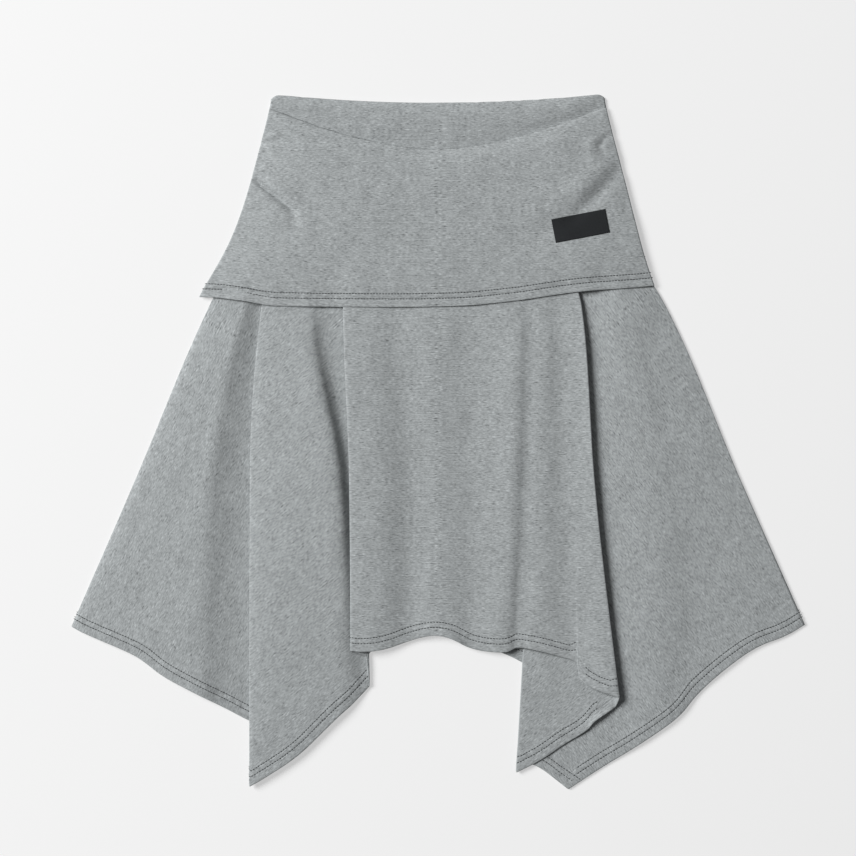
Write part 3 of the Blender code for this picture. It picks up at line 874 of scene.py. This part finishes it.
@functools.cache
def thread_with_painted_shade_material():
    """Sewing thread coloured dark grey, darker than the jersey as painted shade of the grooves the stitching
    sinks into, with the twist of its plies.
    """
    settings = bpy.context.scene.skirt_sewing
    # The dark thread colour here is painted shade of the stitching's grooves.
    material, tree, shader = shader_of("sewing_thread_painted_shade", settings.colour, 0.6, 0.05)
    where = tree_node(tree, "ShaderNodeTexCoord").outputs["Object"]
    twist = noise(tree, where, 2600, 2, 0.5)
    add_tint(tree, shader, twist, settings.colour)
    add_bump(tree, shader, twist, 0.4, 0.0002)
    return material


@functools.cache
def ribbon_material():
    """Black woven ribbon: fine ribs across, with a faint speckle."""
    settings = bpy.context.scene.skirt_patch
    material, tree, shader = shader_of("black_woven", settings.colour, 0.8, 0.0)
    where = tree_node(tree, "ShaderNodeUVMap", uv_map="grain").outputs["UV"]
    rib = ribs(tree, stretched(tree, where, 0.0006, 0.0003), "Y", 0.6)
    speck = noise(tree, where, 900, 2, 0.6)
    rib = arithmetic(tree, "MULTIPLY", rib, 0.5)
    mixed = arithmetic(tree, "ADD", rib, span(tree, speck, 0.3, 0.7, 0, 0.5))
    add_tint(tree, shader, mixed, settings.colour)
    add_bump(tree, shader, mixed, 0.5, 0.0002)
    return material


@functools.cache
def stitch_tree():
    """Stitches laid one after another along each path."""
    tree = bpy.data.node_groups.new("stitch_rows", "GeometryNodeTree")
    socket(tree, "Geometry", "NodeSocketGeometry")
    socket(tree, "Pitch", "NodeSocketFloat", 0.003)
    socket(tree, "Length", "NodeSocketFloat", 0.0026)
    socket(tree, "Thread", "NodeSocketFloat", 0.0006)
    socket(tree, "Material", "NodeSocketMaterial")
    socket(tree, "Geometry", "NodeSocketGeometry", out=True)
    given = tree.nodes.new("NodeGroupInput").outputs
    line = tree_node(tree, "GeometryNodeMeshToCurve", [("Mesh", given["Geometry"])])
    spaced = tree_node(tree, "GeometryNodeResampleCurve",
                       [("Curve", line.outputs["Curve"]), ("Length", given["Pitch"])], mode="LENGTH")
    ball = tree_node(tree, "GeometryNodeMeshUVSphere",
                     [("Segments", 6), ("Rings", 5), ("Radius", 0.5)])
    size = tree_node(tree, "ShaderNodeCombineXYZ",
                     [("X", given["Length"]), ("Y", given["Thread"]), ("Z", given["Thread"])])
    stitch = tree_node(tree, "GeometryNodeTransform",
                       [("Geometry", ball.outputs["Mesh"]), ("Scale", size.outputs["Vector"])])
    tangent = tree_node(tree, "GeometryNodeInputTangent")
    turned = tree_node(tree, "FunctionNodeAlignRotationToVector",
                       [("Vector", tangent.outputs["Tangent"])], axis="X")
    uneven = tree_node(tree, "FunctionNodeRandomValue", [("Seed", 7)], data_type="FLOAT_VECTOR")
    uneven.inputs[0].default_value = (0.88, 0.92, 0.9)
    uneven.inputs[1].default_value = (1.06, 1.08, 1.1)
    laid = tree_node(tree, "GeometryNodeInstanceOnPoints",
                     [("Points", spaced.outputs["Curve"]), ("Instance", stitch.outputs["Geometry"]),
                      ("Rotation", turned.outputs["Rotation"]), ("Scale", uneven.outputs["Value"])])
    real = tree_node(tree, "GeometryNodeRealizeInstances", [("Geometry", laid.outputs["Instances"])])
    made = tree_node(tree, "GeometryNodeSetMaterial",
                     [("Geometry", real.outputs["Geometry"]), ("Material", given["Material"])])
    put = tree.nodes.new("NodeGroupOutput")
    tree.links.new(made.outputs["Geometry"], put.inputs["Geometry"])
    return tree


def add_stitches(name, paths):
    """Rows of stitches along the paths, each an array of points in metres, as one plain mesh."""
    settings = bpy.context.scene.skirt_sewing
    points = np.concatenate(paths)
    edges = []
    first = 0
    for path in paths:
        edges += [(first + i, first + i + 1) for i in range(len(path) - 1)]
        first += len(path)
    mesh = bpy.data.meshes.new(name)
    mesh.from_pydata(points.tolist(), edges, [])
    guide = add_object(name + "_guide", mesh)
    rows = guide.modifiers.new("stitches", "NODES")
    rows.node_group = stitch_tree()
    values = {"Pitch": settings.pitch, "Length": settings.length, "Thread": settings.thread,
              "Material": thread_with_painted_shade_material()}
    for item in rows.node_group.interface.items_tree:
        if item.in_out == "INPUT" and item.name in values:
            rows[item.identifier] = values[item.name]
    graph = bpy.context.evaluated_depsgraph_get()
    result = bpy.data.meshes.new_from_object(guide.evaluated_get(graph))
    result.name = name
    result.shade_smooth()
    guide.modifiers.clear()
    bpy.data.objects.remove(guide)
    return add_object(name, result)


def sewn_parts(name, places):
    """The stretches of a hem whose rows show: which columns, 1 for the right side up or -1, and
    how far the rows run on at the end."""
    if name != "front":
        return [(places > -1, 1, 0.0)]
    first, last, onward = CORNER_ROWS
    return [
        (places < HIDDEN_ROWS[0], 1, 0.0),
        ((places > HIDDEN_ROWS[1]) & (places < first), 1, 0.0),
        ((places > WRONG_SIDE[0]) & (places < WRONG_SIDE[1]), -1, 0.0),
        ((places > first) & (places < last), 1, RUN_ON),
        (places > onward, 1, 0.0),
    ]


def hem_paths(name):
    """The two rows of a hem's stitching, half sunk in the cloth."""
    grid, depth, places = cloth(name)
    out = normals(grid)
    paths = []
    for row in STITCH_ROWS:
        r = NEAR_ROWS.index(row)
        height = half_wall(depth[r])
        for part, side, run_on in sewn_parts(name, places):
            path = grid[r] + side * out[r] * height[:, None]
            far = np.concatenate([[True], norm(np.diff(path, axis=0), axis=1) > 0.05])
            path = path[far & part]
            if run_on:
                way = path[-1] - path[-RUN_COLUMNS]
                beyond = path[-1] + way / norm(way) * row * run_on
                path = np.append(path, [beyond], axis=0)
            paths.append(to_metres(path))
    return paths


def full_wall():
    """The thickness of the turned-up hem, which the weights bring down elsewhere, in metres."""
    return bpy.context.scene.skirt_cloth.wall / SINGLE


def half_wall(depth):
    """How far the cloth's faces lie from its middle surface, in millimetres."""
    return full_wall() * 500 * hem_weight(depth)


def add_cloth(name, angle):
    """One piece of jersey in place of its solid, its grain turned by the angle of each column."""
    grid, depth, _ = cloth(name)
    piece_name, node, _ = PIECES[name]
    piece = add_sheet(piece_name, to_metres(grid), hem_weight(depth), full_wall(), angle[None, :],
                      jersey_material())
    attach(piece, "root")
    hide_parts(node)


class SKIRT_OT_panels(bpy.types.Operator):
    """Add the front and back skirt panels as fine cloth."""

    bl_idname = "skirt.panels"
    bl_label = "Skirt panels"

    def execute(self, context):
        lines, angles = zip(*GRAIN)
        add_cloth("front", np.interp(cloth("front")[2], lines, angles))
        add_cloth("back", cloth("back")[2] * 0)
        return {"FINISHED"}


class SKIRT_OT_waist(bpy.types.Operator):
    """Add the folded-over waist, front and back."""

    bl_idname = "skirt.waist"
    bl_label = "Folded waist"

    def execute(self, context):
        for name in ("flap", "under"):
            add_cloth(name, cloth(name)[2] * 0)
        return {"FINISHED"}


def flap_tree():
    """The flap's upper face, for laying things on it, in metres."""
    grid, depth, _ = cloth("flap")
    face = grid + normals(grid) * half_wall(depth)[..., None]
    rows, columns = grid.shape[:2]
    return BVHTree.FromPolygons(to_metres(face).reshape(-1, 3).tolist(), faces_of(rows, columns).tolist())


def patch_points(tree, across, down):
    """Points of the patch, from its middle, laid on the flap: in metres."""
    turn = math.radians(LABEL_TURN)
    middle = to_metres(np.array([*LABEL_AT, 0.0]))
    out = np.zeros((*across.shape, 3))
    for at in np.ndindex(across.shape):
        u, v = across[at], down[at]
        x = middle[0] + u * math.cos(turn) - v * math.sin(turn)
        y = middle[1] + u * math.sin(turn) + v * math.cos(turn)
        hit = tree.ray_cast(Vector((x, y, OVERHEAD)), Vector((0, 0, -1)))[0]
        out[at] = (x, y, hit.z)
    return out


class SKIRT_OT_patch(bpy.types.Operator):
    """Add the plain black woven patch on the flap."""

    bl_idname = "skirt.patch"
    bl_label = "Woven patch"

    def execute(self, context):
        settings = context.scene.skirt_patch
        across, down = np.meshgrid(np.linspace(-0.5, 0.5, 111) * settings.width,
                                   np.linspace(-0.5, 0.5, 49) * settings.height)
        place = patch_points(flap_tree(), across, down)
        place[..., 2] += settings.thick / 2 + LABEL_CLEAR
        edge = np.minimum(settings.width / 2 - np.abs(across), settings.height / 2 - np.abs(down))
        weight = np.sqrt(np.clip(1 - (1 - np.clip(edge / LABEL_EDGE, 0, 1)) ** 2, 0.15, 1))
        piece = add_sheet("woven_patch", place, weight, settings.thick, np.full((1, 1), LABEL_TURN),
                          ribbon_material())
        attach(piece, "root")
        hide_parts("label")
        return {"FINISHED"}


class SKIRT_OT_sewing(bpy.types.Operator):
    """Add the twin rows of stitching along every hem."""

    bl_idname = "skirt.sewing"
    bl_label = "Hem stitching"

    def execute(self, context):
        for name in PIECES:
            piece = add_stitches(f"{name}_stitching", hem_paths(name))
            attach(piece, "root")
        return {"FINISHED"}


def area_of(place):
    """The area of the surface through a grid of points."""
    one = np.cross(place[1:, :-1] - place[:-1, :-1], place[:-1, 1:] - place[:-1, :-1])
    two = np.cross(place[:-1, 1:] - place[1:, 1:], place[1:, :-1] - place[1:, 1:])
    return float(norm(one, axis=2).sum() + norm(two, axis=2).sum()) / 2


class SKIRT_OT_cut(bpy.types.Operator):
    """Work out the flat cut of each piece of cloth, its hem's length, its length down and its area, without
    keeping them.
    """

    bl_idname = "skirt.cut"
    bl_label = "Flat cut"

    def execute(self, context):
        for name, (piece_name, _, rests_on) in PIECES.items():
            place = to_metres(cloth(name)[0])
            hem = float(norm(np.diff(place[0], axis=0), axis=1).sum())
            down = norm(np.diff(place, axis=0), axis=2).sum(axis=0)
            area_of(place)
        return {"FINISHED"}


class SKIRT_OT_stage(bpy.types.Operator):
    """Add the pale floor, the soft light and the camera straight above."""

    bl_idname = "skirt.stage"
    bl_label = "Floor, light and camera"

    def execute(self, context):
        settings = context.scene.skirt_stage
        corners = np.array([[-1, -1, 0], [1, -1, 0], [1, 1, 0], [-1, 1, 0]]) * FLOOR_HALF
        floor = add_mesh("floor", corners, np.array([[0, 1, 2, 3]]), self.floor_material(settings))
        world = bpy.data.worlds.new("studio")
        world.use_nodes = True
        sky = world.node_tree.nodes["Background"].inputs
        sky["Color"].default_value = (1.0, 1.0, 1.0, 1)
        sky["Strength"].default_value = 1 - settings.key
        context.scene.world = world
        elevation, azimuth = math.radians(settings.elevation), math.radians(KEY_FROM)
        light = bpy.data.lights.new("key", "AREA")
        light.shape = "DISK"
        light.size = KEY_SIZE
        light.energy = settings.key * (math.pi * KEY_AWAY) ** 2 / math.sin(elevation)
        key = add_object("key", light)
        away = Vector((math.cos(azimuth) * math.cos(elevation), math.sin(azimuth) * math.cos(elevation),
                       math.sin(elevation)))
        key.location = away * KEY_AWAY
        key.rotation_euler = away.to_track_quat("Z", "Y").to_euler()
        camera = add_object("camera", bpy.data.cameras.new("camera"))
        middle = to_metres(np.array(VIEW_MIDDLE))
        camera.location = (middle[0], middle[1], settings.height)
        camera.data.sensor_width = SENSOR
        camera.data.lens = SENSOR * (settings.height - middle[2]) / VIEW_WIDE
        context.scene.camera = camera
        context.scene.view_settings.view_transform = "Standard"
        return {"FINISHED"}

    def floor_material(self, settings):
        """Smooth pale paper, lit enough that its shadows stay light."""
        material, _, shader = shader_of("pale_paper", [PAPER] * 3, 0.95, 0.0)
        shader.inputs["Emission Color"].default_value = (1, 1, 1, 1)
        shader.inputs["Emission Strength"].default_value = settings.floor - PAPER
        return material


class SKIRT_PT_panel(bpy.types.Panel):
    """The skirt's pieces and their settings."""

    bl_label = "Skirt"
    bl_idname = "SKIRT_PT_panel"
    bl_space_type = "VIEW_3D"
    bl_region_type = "UI"
    bl_category = "Skirt"

    def draw(self, context):
        for name, operators in STEPS:
            box = self.layout.box()
            settings = getattr(context.scene, name)
            for key in settings.bl_rna.properties.keys():
                if key not in ("rna_type", "name"):
                    box.prop(settings, key)
            for operator in operators:
                box.operator(operator)


STEPS = [
    ("skirt_cloth", ("skirt.panels", "skirt.waist", "skirt.cut")),
    ("skirt_sewing", ("skirt.sewing",)),
    ("skirt_patch", ("skirt.patch",)),
    ("skirt_stage", ("skirt.stage",)),
]
SETTINGS = {
    "skirt_cloth": SkirtCloth,
    "skirt_sewing": SkirtSewing,
    "skirt_patch": SkirtPatch,
    "skirt_stage": SkirtStage,
}
CLASSES = [
    *SETTINGS.values(), SKIRT_OT_panels, SKIRT_OT_waist, SKIRT_OT_patch, SKIRT_OT_sewing,
    SKIRT_OT_cut, SKIRT_OT_stage, SKIRT_PT_panel,
]


def register():
    for cls in CLASSES:
        bpy.utils.register_class(cls)
    for name, cls in SETTINGS.items():
        setattr(bpy.types.Scene, name, PointerProperty(type=cls))


def unregister():
    for name in SETTINGS:
        delattr(bpy.types.Scene, name)
    for cls in reversed(CLASSES):
        bpy.utils.unregister_class(cls)


def main():
    for obj in [o for o in bpy.data.objects if o.name in ("Cube", "Light", "Camera")]:
        bpy.data.objects.remove(obj)
    register()
    bpy.ops.skirt.panels()
    bpy.ops.skirt.waist()
    bpy.ops.skirt.patch()
    bpy.ops.skirt.sewing()
    bpy.ops.skirt.stage()
    bpy.ops.skirt.cut()


if __name__ == "__main__":
    main()
